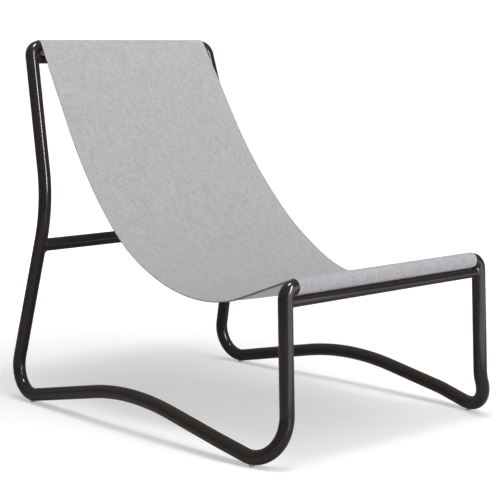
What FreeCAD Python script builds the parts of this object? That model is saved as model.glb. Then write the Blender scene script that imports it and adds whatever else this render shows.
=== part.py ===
import FreeCAD, Part
import math
import os

# Low lounge chair: a fabric sling hung on one continuous loop of bent round tube.
# Millimetres, +Z up, the sitter faces -Y, and X = 0 is the plane of symmetry.
# The origin lies on the floor, under the middle of the chair's outline.

os.makedirs("parts", exist_ok=True)
Vector = FreeCAD.Vector
X_AXIS = Vector(1, 0, 0)
Z_AXIS = Vector(0, 0, 1)

doc = FreeCAD.newDocument("sling_chair")
sheet = doc.addObject("Spreadsheet::Sheet", "dimensions")

# ---------------------------------------------------------------------------
# Driving dimensions
# ---------------------------------------------------------------------------

DIMENSIONS = (
    # frame tube
    ("tube_radius", 14.0, "28 mm round steel tube"),
    ("tube_wall", 2.0, "wall of the frame tube"),
    ("corner_bend", 22.0, "centreline radius of the four tight rail corners"),
    ("seam_gap", 1.5, "root gap of the butt weld in the middle of each rail"),
    ("spigot_length", 60.0, "inner sleeve that lines up the two half loops"),
    ("spigot_clearance", 0.1, "slip fit of the sleeve, per side"),
    # cross braces
    ("brace_radius", 10.0, "20 mm tube under each rail"),
    ("brace_wall", 1.5, "wall of the two slim braces"),
    ("brace_drop", 27.0, "rail centre to brace centre, along the leg"),
    ("rear_brace_height", 347.0, "centre of the rear brace above the floor"),
    ("weld_leg", 3.0, "leg of the fillet weld round each brace end"),
    # glides
    ("glide_radius", 6.0, "head of the push-in floor glide"),
    ("glide_height", 3.0, "clear height of the tube above the floor"),
    ("glide_round", 0.8, "rounded lower edge of the glide"),
    ("glide_seat", 3.0, "how far the head reaches up beside the tube"),
    ("peg_radius", 2.75, "peg of the glide"),
    ("peg_hole_radius", 3.0, "hole for the peg in the tube wall"),
    ("peg_length", 11.0, "peg top above the floor"),
    # sling
    ("fabric", 1.2, "thickness of the woven sling"),
    ("fabric_ease", 0.3, "clear space between fabric and tube"),
    ("half_width_top", 231.5, "half the sling's width at the top rail"),
    ("half_width_front", 247.0, "half the sling's width at the front rail"),
    ("back_slope", 60.0, "degrees from the floor where the sling leaves the top rail"),
    ("front_slope", 18.3, "degrees from the floor where it meets the front rail"),
    ("tape_width", 15.0, "reinforcing tape sewn under each long edge"),
    ("tape_thickness", 1.0, "thickness of that tape"),
    ("tape_ease", 0.1, "clear space between tape and panel"),
    ("tape_end_gap", 6.0, "tape stops this far short of each rail"),
    ("rod_radius", 4.0, "solid rod in each end pocket"),
    ("rod_ease", 0.2, "clear space round the rod in its pocket"),
    ("rod_inset", 3.0, "rod ends stand this far inside the fabric's edge"),
    ("seam_lap", 0.4, "how far the strip runs into the pocket's wall"),
)

# Corners of the tube's centreline on the -X side before they are rounded, from the front
# rail down the leg, back along the floor runner and up to the top rail.
TUBE_CORNERS = (
    # name, half width, depth along Y, height, bend radius
    ("front_corner", 270.0, -419.5, 331.5, None),
    ("leg_kick", 273.0, -424.0, 89.0, 73.0),
    ("front_foot", 302.5, -425.0, 1.2, 64.0),
    ("runner_front", 315.0, -283.0, 34.0, 105.0),
    ("runner_crest", 313.0, -5.5, 87.0, 690.0),
    ("rear_foot", 303.5, 448.5, -0.5, 61.0),
    ("upright_knee", 275.0, 327.0, 436.5, 310.0),
    ("top_corner", 250.0, 408.5, 777.0, None),
)

# Corners of the sling's sagging line between the rails, in the YZ plane.
SAG_CORNERS = (
    # name, depth along Y, height, radius of the round
    ("sag_seat", -121.5, 248.6, 320.0),
    ("sag_middle", 83.0, 347.6, 500.0),
    ("sag_back", 233.8, 504.0, 950.0),
)


def fill_sheet():
    """Writes every driving dimension into the sheet, one alias per row."""
    rows = list(DIMENSIONS)
    for name, half_width, depth, height, radius in TUBE_CORNERS:
        rows.append((name + "_side", half_width, "half width of this tube corner"))
        rows.append((name + "_depth", depth, "place of this tube corner along Y"))
        rows.append((name + "_height", height, "height of this tube corner"))
        if radius is not None:
            rows.append((name + "_bend", radius, "centreline bend radius at this corner"))
    for name, depth, height, radius in SAG_CORNERS:
        rows.append((name + "_depth", depth, "place of this sling corner along Y"))
        rows.append((name + "_height", height, "height of this sling corner"))
        rows.append((name + "_round", radius, "radius of the sling's curve here"))
    for row, (name, value, note) in enumerate(rows, start=1):
        sheet.set("A%d" % row, name)
        sheet.set("B%d" % row, "%g" % value)
        sheet.set("C%d" % row, note)
        sheet.setAlias("B%d" % row, name)
    doc.recompute()


def size(name):
    """Reads one dimension back from the sheet."""
    return float(sheet.get(name))


# ---------------------------------------------------------------------------
# Helpers for the document's objects
# ---------------------------------------------------------------------------

def add(kind, name, **bindings):
    """Adds a document object and binds its properties to expressions on the sheet."""
    item = doc.addObject(kind, name)
    for prop, expression in bindings.items():
        item.setExpression(prop, expression)
    return item


def place(item, position, direction=Z_AXIS):
    """Places an object so that its own Z axis points along the direction."""
    item.Placement = FreeCAD.Placement(position, FreeCAD.Rotation(Z_AXIS, direction))
    return item


def cylinder(name, position, direction, **bindings):
    """A cylinder that starts at the position and runs along the direction."""
    return place(add("Part::Cylinder", name, **bindings), position, direction)


def cut(name, base, tool):
    """Base less tool."""
    item = doc.addObject("Part::Cut", name)
    item.Base = base
    item.Tool = tool
    return item


def common(name, base, tool):
    """What base and tool share."""
    item = doc.addObject("Part::Common", name)
    item.Base = base
    item.Tool = tool
    return item


def joined(name, *shapes):
    """Several objects fused."""
    item = doc.addObject("Part::MultiFuse", name)
    item.Shapes = list(shapes)
    return item


def grouped(name, *shapes):
    """Separate solids that share one node."""
    item = doc.addObject("Part::Compound", name)
    item.Links = list(shapes)
    return item


def mirrored(name, source):
    """The +X twin of a piece made on the -X side."""
    item = doc.addObject("Part::Mirroring", name)
    item.Source = source
    item.Normal = X_AXIS
    return item


def wire_feature(name, wire):
    """A construction line that other objects follow."""
    item = doc.addObject("Part::Feature", name)
    item.Shape = wire
    return item


# ---------------------------------------------------------------------------
# Lines with rounded corners
# ---------------------------------------------------------------------------

def rounded_edges(points, radii):
    """Straight runs through the points, joined by tangent arcs at the inner ones."""
    edges = []
    start = points[0]
    for before, corner, after, radius in zip(points, points[1:], points[2:], radii):
        back = (before - corner).normalize()
        ahead = (after - corner).normalize()
        half_turn = (math.pi - back.getAngle(ahead)) / 2
        reach = radius * math.tan(half_turn)
        inward = (back + ahead).normalize()
        centre = corner + inward * (radius / math.cos(half_turn))
        enter = corner + back * reach
        leave = corner + ahead * reach
        edges.append(Part.makeLine(start, enter))
        edges.append(Part.Arc(enter, centre - inward * radius, leave).toShape())
        start = leave
    edges.append(Part.makeLine(start, points[-1]))
    return edges


def tube_corner(name):
    """One corner of the -X half of the frame's centreline."""
    return Vector(-size(name + "_side"), size(name + "_depth"), size(name + "_height"))


def tube_wire():
    """Centreline of the -X half loop, from the front rail's seam to the top rail's."""
    names = [row[0] for row in TUBE_CORNERS]
    corners = [tube_corner(name) for name in names]
    seam = -size("seam_gap") / 2
    front = Vector(seam, corners[0].y, corners[0].z)
    top = Vector(seam, corners[-1].y, corners[-1].z)
    radii = [size(name + "_bend") for name in names[1:-1]]
    radii = [size("corner_bend")] + radii + [size("corner_bend")]
    return Part.Wire(rounded_edges([front] + corners + [top], radii))


def lowest_points(wire):
    """Where the front and rear foot bends come nearest to the floor."""
    low_arcs = sorted(wire.Edges, key=lambda edge: edge.BoundBox.ZMin)
    arcs = [edge for edge in low_arcs if edge.Curve.TypeId == "Part::GeomCircle"][:2]
    floor = Part.Plane(Vector(0, 0, -size("tube_radius")), Z_AXIS).toShape()
    points = [arc.distToShape(floor)[1][0][0] for arc in arcs]
    return sorted(points, key=lambda point: point.y)


# ---------------------------------------------------------------------------
# Frame
# ---------------------------------------------------------------------------

def swept(name, spine, start, radius_expression):
    """A round bar of the given radius along the half loop."""
    section = place(add("Part::Circle", name + "_section", Radius=radius_expression), start, X_AXIS)
    bar = doc.addObject("Part::Sweep", name)
    bar.Sections = [section]
    bar.Spine = (spine, ["Edge%d" % (i + 1) for i in range(len(spine.Shape.Edges))])
    bar.Solid = True
    bar.Transition = "Transformed"
    return bar


def build_side_tubes(spine, feet):
    """The two half loops, with a drilled hole for each glide's peg."""
    start = spine.Shape.Edges[0].Vertexes[0].Point
    outside = swept("half_loop_outside", spine, start, "dimensions.tube_radius")
    inside = swept("half_loop_inside", spine, start, "dimensions.tube_radius - dimensions.tube_wall")
    hollow = cut("half_loop_hollow", outside, inside)
    drills = []
    for label, foot in zip(("front", "rear"), feet):
        drills.append(cylinder(label + "_glide_drill", Vector(foot.x, foot.y, 0), Z_AXIS,
                               Radius="dimensions.peg_hole_radius",
                               Height="dimensions.glide_height + dimensions.tube_radius"))
    left = cut("left_side_tube", hollow, joined("glide_drills", *drills))
    return outside, left, mirrored("right_side_tube", left)


def build_spigots(rails):
    """Inner sleeves across the two seams, and the butt welds round them."""
    spigots = []
    rings = []
    for label, rail in rails:
        middle = Vector(0, rail.y, rail.z)
        length = size("spigot_length")
        start = middle - X_AXIS * (length / 2)
        bore = "dimensions.tube_radius - dimensions.tube_wall - dimensions.spigot_clearance"
        body = cylinder(label + "_spigot_bar", start, X_AXIS, Radius=bore,
                        Height="dimensions.spigot_length")
        hole = cylinder(label + "_spigot_hole", start, X_AXIS,
                        Radius=bore + " - dimensions.tube_wall", Height="dimensions.spigot_length")
        spigots.append(cut(label + "_spigot", body, hole))
        edge = middle - X_AXIS * (size("seam_gap") / 2)
        ring = cylinder(label + "_seam_disc", edge, X_AXIS, Radius="dimensions.tube_radius",
                        Height="dimensions.seam_gap")
        core = cylinder(label + "_seam_core", edge, X_AXIS,
                        Radius="dimensions.tube_radius - dimensions.tube_wall",
                        Height="dimensions.seam_gap")
        rings.append(cut(label + "_seam_ring", ring, core))
    return spigots + [grouped("rail_seam_welds", *rings)]


def build_brace(name, end, radius, wall, outside, both_sides):
    """A cross tube between the sides, coped to fit round them, with its two end welds.

    The end is the point on the -X centreline that the brace's axis runs through.
    """
    span = 2 * abs(end.x)
    solid = cylinder(name + "_bar", end, X_AXIS, Radius=radius)
    solid.Height = span
    bore = cylinder(name + "_bore", end, X_AXIS, Radius=radius + " - " + wall)
    bore.Height = span
    brace = cut(name, cut(name + "_hollow", solid, bore), both_sides)
    sleeve = cylinder(name + "_weld_sleeve", end, X_AXIS, Radius=radius + " + dimensions.weld_leg",
                      Height="dimensions.tube_radius + dimensions.weld_leg")
    collar = common(name + "_weld_collar", sleeve, outside["weld"])
    bead = cut(name + "_weld_near", cut(name + "_weld_open", collar, solid), outside["tube"])
    return [brace, grouped(name + "_welds", bead, mirrored(name + "_weld_far", bead))]


def build_glides(feet, outside):
    """Push-in plastic glides: a round head shaped to the tube and a peg inside it."""
    glides = []
    for label, foot in zip(("front", "rear"), feet):
        under = Vector(foot.x, foot.y, 0)
        head = cylinder(label + "_glide_head", under, Z_AXIS, Radius="dimensions.glide_radius",
                        Height="dimensions.glide_height + dimensions.glide_seat")
        doc.recompute()
        rounded = doc.addObject("Part::Fillet", label + "_glide_rounded")
        rounded.Base = head
        radius = size("glide_round")
        rounded.Edges = [(i + 1, radius, radius) for i, edge in enumerate(head.Shape.Edges)
                         if edge.BoundBox.ZMax < radius]
        saddle = cut(label + "_glide_saddle", rounded, outside)
        peg = cylinder(label + "_glide_peg", under + Z_AXIS * size("glide_round"), Z_AXIS,
                       Radius="dimensions.peg_radius",
                       Height="dimensions.peg_length - dimensions.glide_round")
        left = joined(label + "_left_glide", saddle, peg)
        glides += [left, mirrored(label + "_right_glide", left)]
    return glides


# ---------------------------------------------------------------------------
# Sling
# ---------------------------------------------------------------------------

class RailWrap:
    """How the sling passes round one rail, seen along X.

    It comes over the rail, down its outer side and back in through the gap above the
    brace, where a rod in the sling's end is too thick to follow. The seat side is +1
    where the seat lies towards +Y of the rail, and -1 where it lies towards -Y.
    """

    def __init__(self, rail, brace, seat_side, slope):
        self.rail = Vector(0, rail.y, rail.z)
        self.down = Vector(0, brace.y - rail.y, brace.z - rail.z).normalize()
        self.inward = Vector(0, -self.down.z, self.down.y) * seat_side
        angle = math.radians(slope)
        self.lift = Vector(0, seat_side * math.sin(angle), math.cos(angle))
        self.radius = size("tube_radius") + size("fabric_ease")
        self.over = self.rail + self.lift * self.radius
        self.under = self.rail + self.down * self.radius
        self.outer = self.rail - self.inward * self.radius
        self.rod = self.rod_centre()

    def rod_centre(self):
        """Where the rod's pocket rests against both the rail and the brace."""
        pocket = size("rod_radius") + size("rod_ease") + size("fabric") + size("fabric_ease")
        to_rail = size("tube_radius") + pocket
        to_brace = size("brace_radius") + pocket
        gap = size("brace_drop")
        along = (gap ** 2 + to_rail ** 2 - to_brace ** 2) / (2 * gap)
        return self.rail + self.down * along + self.inward * math.sqrt(to_rail ** 2 - along ** 2)

    def edges(self):
        """Inner face of the fabric from the rod's pocket, through the gap and over the rail."""
        pocket_inside = size("rod_radius") + size("rod_ease")
        reach = (self.rod - self.rail).dot(self.inward) - pocket_inside - size("seam_lap")
        inner_end = self.under + self.inward * reach
        return [Part.makeLine(inner_end, self.under),
                Part.Arc(self.under, self.outer, self.over).toShape()]


def strip_face(wire, lift, thickness):
    """A flat strip that starts at the given lift above the line and has the thickness."""
    base = wire.makeOffset2D(lift, openResult=True) if lift else wire
    return base.makeOffset2D(thickness, fill=True, openResult=True)


def seat_line(front, back, end_gap):
    """Inner face of the sling between the rails, less a gap at each end."""
    names = [row[0] for row in SAG_CORNERS]
    corners = [Vector(0, size(name + "_depth"), size(name + "_height")) for name in names]
    start = front.over + (corners[0] - front.over).normalize() * end_gap
    finish = back.over + (corners[-1] - back.over).normalize() * end_gap
    return rounded_edges([start] + corners + [finish], [size(name + "_round") for name in names])


def plan_wedge(name, front, back, left_edge, right_edge):
    """A block over the whole sling whose sides follow the sling's taper in plan.

    The two edges are expressions for X in which WIDTH stands for the half width.
    """
    margin = 2 * size("tube_radius")
    block = doc.addObject("Part::Wedge", name)
    block.Ymin = front.rail.y - margin
    block.Ymax = back.rail.y + margin
    block.Zmin = 0
    block.Z2min = 0
    block.Zmax = back.rail.z + margin
    block.Z2max = back.rail.z + margin
    for prefix, width in (("X", "dimensions.half_width_front"), ("X2", "dimensions.half_width_top")):
        block.setExpression(prefix + "min", left_edge.replace("WIDTH", width))
        block.setExpression(prefix + "max", right_edge.replace("WIDTH", width))
    return block


def across(name, profile):
    """A profile in the YZ plane extended over the chair's full width."""
    item = doc.addObject("Part::Extrusion", name)
    item.Base = profile
    item.DirMode = "Custom"
    item.Dir = X_AXIS
    item.Solid = True
    item.Symmetric = True
    item.setExpression("LengthFwd", "2 * dimensions.half_width_front + 2 * dimensions.tube_radius")
    return item


def cross_bar(name, centre, radius, half_length):
    """A round bar along X, centred on X = 0."""
    bar = add("Part::Cylinder", name, Radius=radius, Height="2 * (" + half_length + ")")
    bar.Placement = FreeCAD.Placement(centre, FreeCAD.Rotation(Z_AXIS, X_AXIS))
    bar.setExpression(".Placement.Base.x", "-(" + half_length + ")")
    return bar


def build_sling(front, back):
    """The woven panel with a pocket at each end, the two rods and the two edge tapes."""
    line = front.edges() + seat_line(front, back, 0)
    line += back.edges()
    wire = Part.Wire(Part.__sortEdges__(line))
    profile = wire_feature("sling_profile", strip_face(wire, 0, size("fabric")))
    cloth = across("sling_cloth", profile)
    half_front = "dimensions.half_width_front"
    pockets = []
    holes = []
    rods = []
    for label, wrap, half in (("front", front, half_front),
                              ("top", back, "dimensions.half_width_top")):
        pocket = "dimensions.rod_radius + dimensions.rod_ease"
        pockets.append(cross_bar(label + "_pocket", wrap.rod, pocket + " + dimensions.fabric",
                                 half_front + " + dimensions.tube_radius"))
        holes.append(cross_bar(label + "_pocket_hole", wrap.rod, pocket,
                               half_front + " + dimensions.tube_radius"))
        rods.append(cross_bar(label + "_hem_rod", wrap.rod, "dimensions.rod_radius",
                              half + " - dimensions.rod_inset"))
    sewn = cut("sling_sewn", joined("sling_with_pockets", cloth, *pockets),
               joined("pocket_holes", *holes))
    outline = plan_wedge("sling_outline", front, back, "-WIDTH", "WIDTH")
    panel = common("sling_panel", sewn, outline)

    tape_wire = Part.Wire(seat_line(front, back, size("tape_end_gap")))
    tape_face = strip_face(tape_wire, -size("tape_ease"), -size("tape_thickness"))
    tape = across("edge_tape_cloth", wire_feature("edge_tape_profile", tape_face))
    band = plan_wedge("edge_tape_outline", front, back, "-WIDTH", "-WIDTH + dimensions.tape_width")
    left_tape = common("left_edge_tape", tape, band)
    return [panel] + rods + [left_tape, mirrored("right_edge_tape", left_tape)]


# ---------------------------------------------------------------------------
# Assembly and export
# ---------------------------------------------------------------------------

def point_at_height(wire, height, behind):
    """Where the centreline crosses a height, on its rearward side."""
    level = Part.Plane(Vector(0, 0, height), Z_AXIS).toShape()
    points = [vertex.Point for vertex in wire.section(level).Vertexes]
    return [point for point in points if point.y > behind][0]


def brace_point(corner, neighbour):
    """The slim brace's axis: a set drop from a rail, along the leg or the upright."""
    start = tube_corner(corner)
    return start + (tube_corner(neighbour) - start).normalize() * size("brace_drop")


def build():
    """Builds every piece and returns the ones to export."""
    wire = tube_wire()
    spine = wire_feature("half_loop_centreline", wire)
    feet = lowest_points(wire)
    outside, left_tube, right_tube = build_side_tubes(spine, feet)
    start = wire.Edges[0].Vertexes[0].Point
    weld_zone = swept("weld_zone", spine, start, "dimensions.tube_radius + dimensions.weld_leg")
    both_sides = joined("both_sides", outside, mirrored("half_loop_outside_far", outside))
    sides = {"tube": outside, "weld": weld_zone}

    front_rail = tube_corner("front_corner")
    top_rail = tube_corner("top_corner")
    front_brace = brace_point("front_corner", "leg_kick")
    top_brace = brace_point("top_corner", "upright_knee")
    rear_brace = point_at_height(wire, size("rear_brace_height"), 0)

    slim = ("dimensions.brace_radius", "dimensions.brace_wall")
    stout = ("dimensions.tube_radius", "dimensions.tube_wall")
    nodes = [left_tube, right_tube]
    nodes += build_spigots((("front_rail", front_rail), ("top_rail", top_rail)))
    nodes += build_brace("rear_brace", rear_brace, stout[0], stout[1], sides, both_sides)
    nodes += build_brace("front_brace", front_brace, slim[0], slim[1], sides, both_sides)
    nodes += build_brace("top_brace", top_brace, slim[0], slim[1], sides, both_sides)
    nodes += build_glides(feet, outside)
    front_wrap = RailWrap(front_rail, front_brace, 1, size("front_slope"))
    top_wrap = RailWrap(top_rail, top_brace, -1, size("back_slope"))
    nodes += build_sling(front_wrap, top_wrap)
    return nodes


def check(nodes):
    """Stops the script if any object failed or any piece isn't a sound solid."""
    for item in doc.Objects:
        if "Invalid" in item.State or "Error" in item.State:
            raise RuntimeError("%s failed: %s" % (item.Label, item.State))
    for node in nodes:
        if node.Shape.isNull() or not node.Shape.isValid() or not node.Shape.Solids:
            raise RuntimeError("%s has no sound solid" % node.Label)


fill_sheet()
pieces = build()
doc.recompute()
check(pieces)
whole = FreeCAD.BoundBox()
for piece in pieces:
    piece.Shape.exportStep("parts/%s.step" % piece.Label)
    whole.add(piece.Shape.BoundBox)
    print("%-20s %d solid(s) %10.1f mm3" % (piece.Label, len(piece.Shape.Solids), piece.Shape.Volume))
print("overall", whole)
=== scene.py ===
"""Looks of a low sling lounge chair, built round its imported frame.

The frame is one loop of bent round tube with three welded cross tubes. Seat and back are
one woven sling that passes round both rails and is locked there by a rod in each end.
Metres, +Z up. The sitter faces -Y, and X = 0 is the plane of symmetry.
"""

import logging
import math
from collections.abc import Callable, Iterable, Iterator, Sequence
from dataclasses import dataclass
from enum import Enum
from typing import Any, Protocol

import bmesh
import bpy
from bmesh.types import BMesh, BMEdge, BMVert
from mathutils import Matrix, Vector
from mathutils.bvhtree import BVHTree


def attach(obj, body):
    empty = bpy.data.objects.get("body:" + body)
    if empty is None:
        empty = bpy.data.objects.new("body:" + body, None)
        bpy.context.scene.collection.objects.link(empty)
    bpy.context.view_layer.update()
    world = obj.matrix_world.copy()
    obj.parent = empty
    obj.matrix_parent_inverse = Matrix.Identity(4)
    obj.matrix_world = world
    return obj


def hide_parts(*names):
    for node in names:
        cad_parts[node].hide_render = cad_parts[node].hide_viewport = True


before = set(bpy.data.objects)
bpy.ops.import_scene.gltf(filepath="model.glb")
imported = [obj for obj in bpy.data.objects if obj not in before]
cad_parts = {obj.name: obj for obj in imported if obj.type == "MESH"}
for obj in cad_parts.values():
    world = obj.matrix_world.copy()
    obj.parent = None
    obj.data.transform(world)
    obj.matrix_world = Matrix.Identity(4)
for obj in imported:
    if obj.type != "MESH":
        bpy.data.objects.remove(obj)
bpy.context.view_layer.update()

log = logging.getLogger("sling_chair")

Triple = tuple[float, float, float]
Colour = tuple[float, float, float, float]

X_AXIS = Vector((1.0, 0.0, 0.0))
Z_AXIS = Vector((0.0, 0.0, 1.0))
WHITE: Triple = (1.0, 1.0, 1.0)
COOL: Triple = (0.89, 0.87, 1.0)
FABRIC = 0.0012
TINY = 1e-9
BODY = "root"


class Slot(Enum):
    """Material slot names that settle is passed for new pieces; nothing reads them."""

    FRAME = "frame"
    SLING = "sling"
    TAPE = "tape"


class Side(Enum):
    """The two mirrored halves of the chair; the value is the sign of X."""

    LEFT = -1
    RIGHT = 1

    @property
    def label(self) -> str:
        """The side's name as it is used in piece names."""
        return self.name.lower()


# Shader arithmetic


def math_node(operation: str, swapped: bool = False) -> Callable[..., "Wave"]:
    """Makes a method of Wave that adds one Math node.

    Args:
        operation: the node's operation.
        swapped: whether the other term comes first, as in 1 - mask.

    Returns:
        The method.
    """

    def method(self: "Wave", *others: "Wave | float") -> "Wave":
        """The node's value for this and the other terms."""
        inputs = dict(enumerate((*others, self) if swapped else (self, *others)))
        return self.graph.node("ShaderNodeMath", {"operation": operation}, inputs)["Value"]

    return method


@dataclass
class Wave:
    """A shader socket that takes part in Python arithmetic.

    Each operator adds the Math node that works it out, in the graph the socket is from.
    """

    graph: "Graph"
    socket: bpy.types.NodeSocket

    __add__ = math_node("ADD")
    __radd__ = math_node("ADD", swapped=True)
    __sub__ = math_node("SUBTRACT")
    __rsub__ = math_node("SUBTRACT", swapped=True)
    __mul__ = math_node("MULTIPLY")
    __rmul__ = math_node("MULTIPLY", swapped=True)
    __truediv__ = math_node("DIVIDE")
    __pow__ = math_node("POWER")
    __abs__ = math_node("ABSOLUTE")
    sine = math_node("SINE")
    floor = math_node("FLOOR")
    at_least = math_node("MAXIMUM")
    at_most = math_node("MINIMUM")

    def limited(self) -> "Wave":
        """This held between 0 and 1."""
        return self.at_least(0.0).at_most(1.0)


Input = Wave | float | Sequence[float]


@dataclass
class Outputs:
    """A node's outputs by name, each as a Wave."""

    graph: "Graph"
    node: bpy.types.Node

    def __getitem__(self, name: str) -> Wave:
        """The output of that name or identifier."""
        return Wave(self.graph, find_socket(self.node.outputs, name))


def find_socket(sockets: Any, key: str | int) -> bpy.types.NodeSocket:
    """Finds a socket.

    Args:
        sockets: a node's inputs or outputs.
        key: its place, identifier or name.

    Returns:
        The socket.
    """
    if isinstance(key, int):
        return sockets[key]
    for socket in sockets:
        if socket.identifier == key:
            return socket
    return sockets[key]


@dataclass(frozen=True)
class Grain:
    """Fractal noise: features per metre, octaves, and the strength of the finer ones."""

    scale: float
    detail: float = 2.0
    rough: float = 0.5


@dataclass(frozen=True)
class Relief:
    """How deep a pattern is in metres, and how much of that shows."""

    depth: float
    strength: float = 0.5


@dataclass(frozen=True)
class Spread:
    """A number that a pattern raises from its least value."""

    least: float
    rise: float

    def over(self, pattern: Wave) -> Wave:
        """The number wherever the pattern goes from 0 to 1."""
        return self.least + pattern * self.rise


class Graph:
    """The node tree of one material or of the world."""

    def __init__(self, tree: bpy.types.NodeTree) -> None:
        """Empties the tree that it is to fill."""
        self.tree = tree
        tree.nodes.clear()

    def node(
        self,
        kind: str,
        settings: dict[str, Any] | None = None,
        inputs: dict[str | int, Input] | None = None,
    ) -> Outputs:
        """Adds one node.

        Args:
            kind: the node's type.
            settings: its own properties, set before its sockets.
            inputs: values or links of its input sockets.

        Returns:
            The node's outputs.
        """
        made = self.tree.nodes.new(kind)
        for name, value in (settings or {}).items():
            if name == "ramp":
                set_ramp(made.color_ramp, value)
            else:
                setattr(made, name, value)
        for key, value in (inputs or {}).items():
            socket = find_socket(made.inputs, key)
            if isinstance(value, Wave):
                self.tree.links.new(value.socket, socket)
            else:
                socket.default_value = value
        return Outputs(self, made)

    def mix(self, low: Input, high: Input, share: Wave) -> Wave:
        """Blends two colours, the first where the share is 0."""
        inputs = {"Factor_Float": share, "A_Color": low, "B_Color": high}
        return self.node("ShaderNodeMix", {"data_type": "RGBA"}, inputs)["Result_Color"]

    def noise(self, spot: Wave, grain: Grain) -> Wave:
        """Fractal noise between 0 and 1, read at a spot."""
        inputs = {"Vector": spot, "Scale": grain.scale, "Detail": grain.detail, "Roughness": grain.rough}
        return self.node("ShaderNodeTexNoise", inputs=inputs)["Fac"]

    def vector(self, x: Wave | float, y: Wave | float, z: Wave | float) -> Wave:
        """Three values as one vector."""
        return self.node("ShaderNodeCombineXYZ", inputs={"X": x, "Y": y, "Z": z})["Vector"]

    def place(self, source: str) -> tuple[Wave, Wave, Wave, Wave]:
        """Reads a coordinate.

        Args:
            source: Object, UV or Generated.

        Returns:
            The vector, and its X, Y and Z.
        """
        vector = self.node("ShaderNodeTexCoord")[source]
        parts = self.node("ShaderNodeSeparateXYZ", inputs={"Vector": vector})
        return vector, parts["X"], parts["Y"], parts["Z"]

    def streaks(self, along: float, across: float, grain: Grain) -> Wave:
        """Noise drawn out along X, by its features per metre along and across."""
        _, x, y, z = self.place("Object")
        return self.noise(self.vector(x * along, y * across, z * across), grain)

    def bump(self, height: Wave, relief: Relief) -> Wave:
        """A normal from a height between 0 and 1."""
        inputs = {"Height": height, "Distance": relief.depth, "Strength": relief.strength}
        return self.node("ShaderNodeBump", inputs=inputs)["Normal"]

    def surface(self, **inputs: Input) -> None:
        """Ends the graph in one principled shader; underscores in names stand for spaces."""
        named = {name.replace("_", " "): value for name, value in inputs.items()}
        shader = self.node("ShaderNodeBsdfPrincipled", inputs=named)["BSDF"]
        self.node("ShaderNodeOutputMaterial", inputs={"Surface": shader})


def set_ramp(ramp: bpy.types.ColorRamp, stops: Sequence[tuple[float, Colour]]) -> None:
    """Sets a colour ramp's stops.

    Args:
        ramp: the ramp of a node.
        stops: position and colour of each stop, in order.
    """
    while len(ramp.elements) < len(stops):
        ramp.elements.new(1.0)
    for element, (position, colour) in zip(ramp.elements, stops):
        element.position = position
        element.color = colour


def grey(value: float) -> Colour:
    """A neutral grey of that linear brightness."""
    return (value, value, value, 1.0)


# Finishes


class Finish(Protocol):
    """A finish that can be laid on a piece."""

    def fill(self, graph: Graph) -> None:
        """Builds the finish's nodes in a graph."""


_made: dict[Any, bpy.types.Material] = {}


def material_of(finish: Finish) -> bpy.types.Material:
    """The material of a finish, made once.

    Args:
        finish: the finish.

    Returns:
        Its material.
    """
    if finish not in _made:
        material = bpy.data.materials.new(f"{type(finish).__name__}_{len(_made)}")
        material.use_nodes = True
        finish.fill(Graph(material.node_tree))
        _made[finish] = material
    return _made[finish]


@dataclass(frozen=True)
class PowderCoat:
    """Dark satin powder coat, with orange peel and a little dust near the floor."""

    colour: Colour = (0.0150, 0.0108, 0.0088, 1.0)
    faded: Colour = (0.0205, 0.0155, 0.0130, 1.0)
    dust: Colour = (0.060, 0.055, 0.050, 1.0)
    patches: Grain = Grain(7.0, 3.0)
    clouds: Grain = Grain(42.0, 4.0, 0.6)
    peel: Grain = Grain(700.0, 1.0)
    peel_relief: Relief = Relief(0.00003)
    roughness: Spread = Spread(0.10, 0.07)
    dust_height: float = 0.012
    dust_amount: float = 0.70
    dust_roughness: float = 0.3
    specular: float = 0.5

    def fill(self, graph: Graph) -> None:
        """Builds the finish's nodes.

        Args:
            graph: the material's graph.
        """
        spot, _, _, height = graph.place("Object")
        clouds = graph.noise(spot, self.clouds)
        low = (1.0 - height / self.dust_height).limited()
        dusty = (low * clouds * self.dust_amount).limited()
        coat = graph.mix(self.colour, self.faded, graph.noise(spot, self.patches))
        graph.surface(
            Base_Color=graph.mix(coat, self.dust, dusty),
            Roughness=self.roughness.over(clouds) + dusty * self.dust_roughness,
            Normal=graph.bump(graph.noise(spot, self.peel), self.peel_relief),
            Specular_IOR_Level=self.specular,
        )


@dataclass(frozen=True)
class WeldBead:
    """The same coat over a weld bead, whose ripples follow the joint."""

    coat: PowderCoat = PowderCoat()
    clouds: Grain = Grain(60.0, 3.0)
    wander: Grain = Grain(260.0)
    ripple_pitch: float = 0.0021
    ripple_relief: Relief = Relief(0.00012)
    ripple_round: float = 0.6
    bow_pitches: float = 2.4
    wander_pitches: float = 0.8

    def fill(self, graph: Graph) -> None:
        """Builds the finish's nodes.

        Args:
            graph: the material's graph.
        """
        spot = graph.place("Object")[0]
        _, around, across, _ = graph.place("UV")
        clouds = graph.noise(spot, self.clouds)
        bow = (across - 0.5) * (across - 0.5) * (self.bow_pitches * self.ripple_pitch)
        wander = graph.noise(spot, self.wander) * (self.wander_pitches * self.ripple_pitch)
        phase = (around + bow + wander) * (math.pi / self.ripple_pitch)
        ripples = abs(phase.sine()) ** self.ripple_round
        graph.surface(
            Base_Color=graph.mix(self.coat.colour, self.coat.faded, clouds),
            Roughness=self.coat.roughness.over(clouds),
            Normal=graph.bump(ripples, self.ripple_relief),
            Specular_IOR_Level=self.coat.specular,
        )


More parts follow.
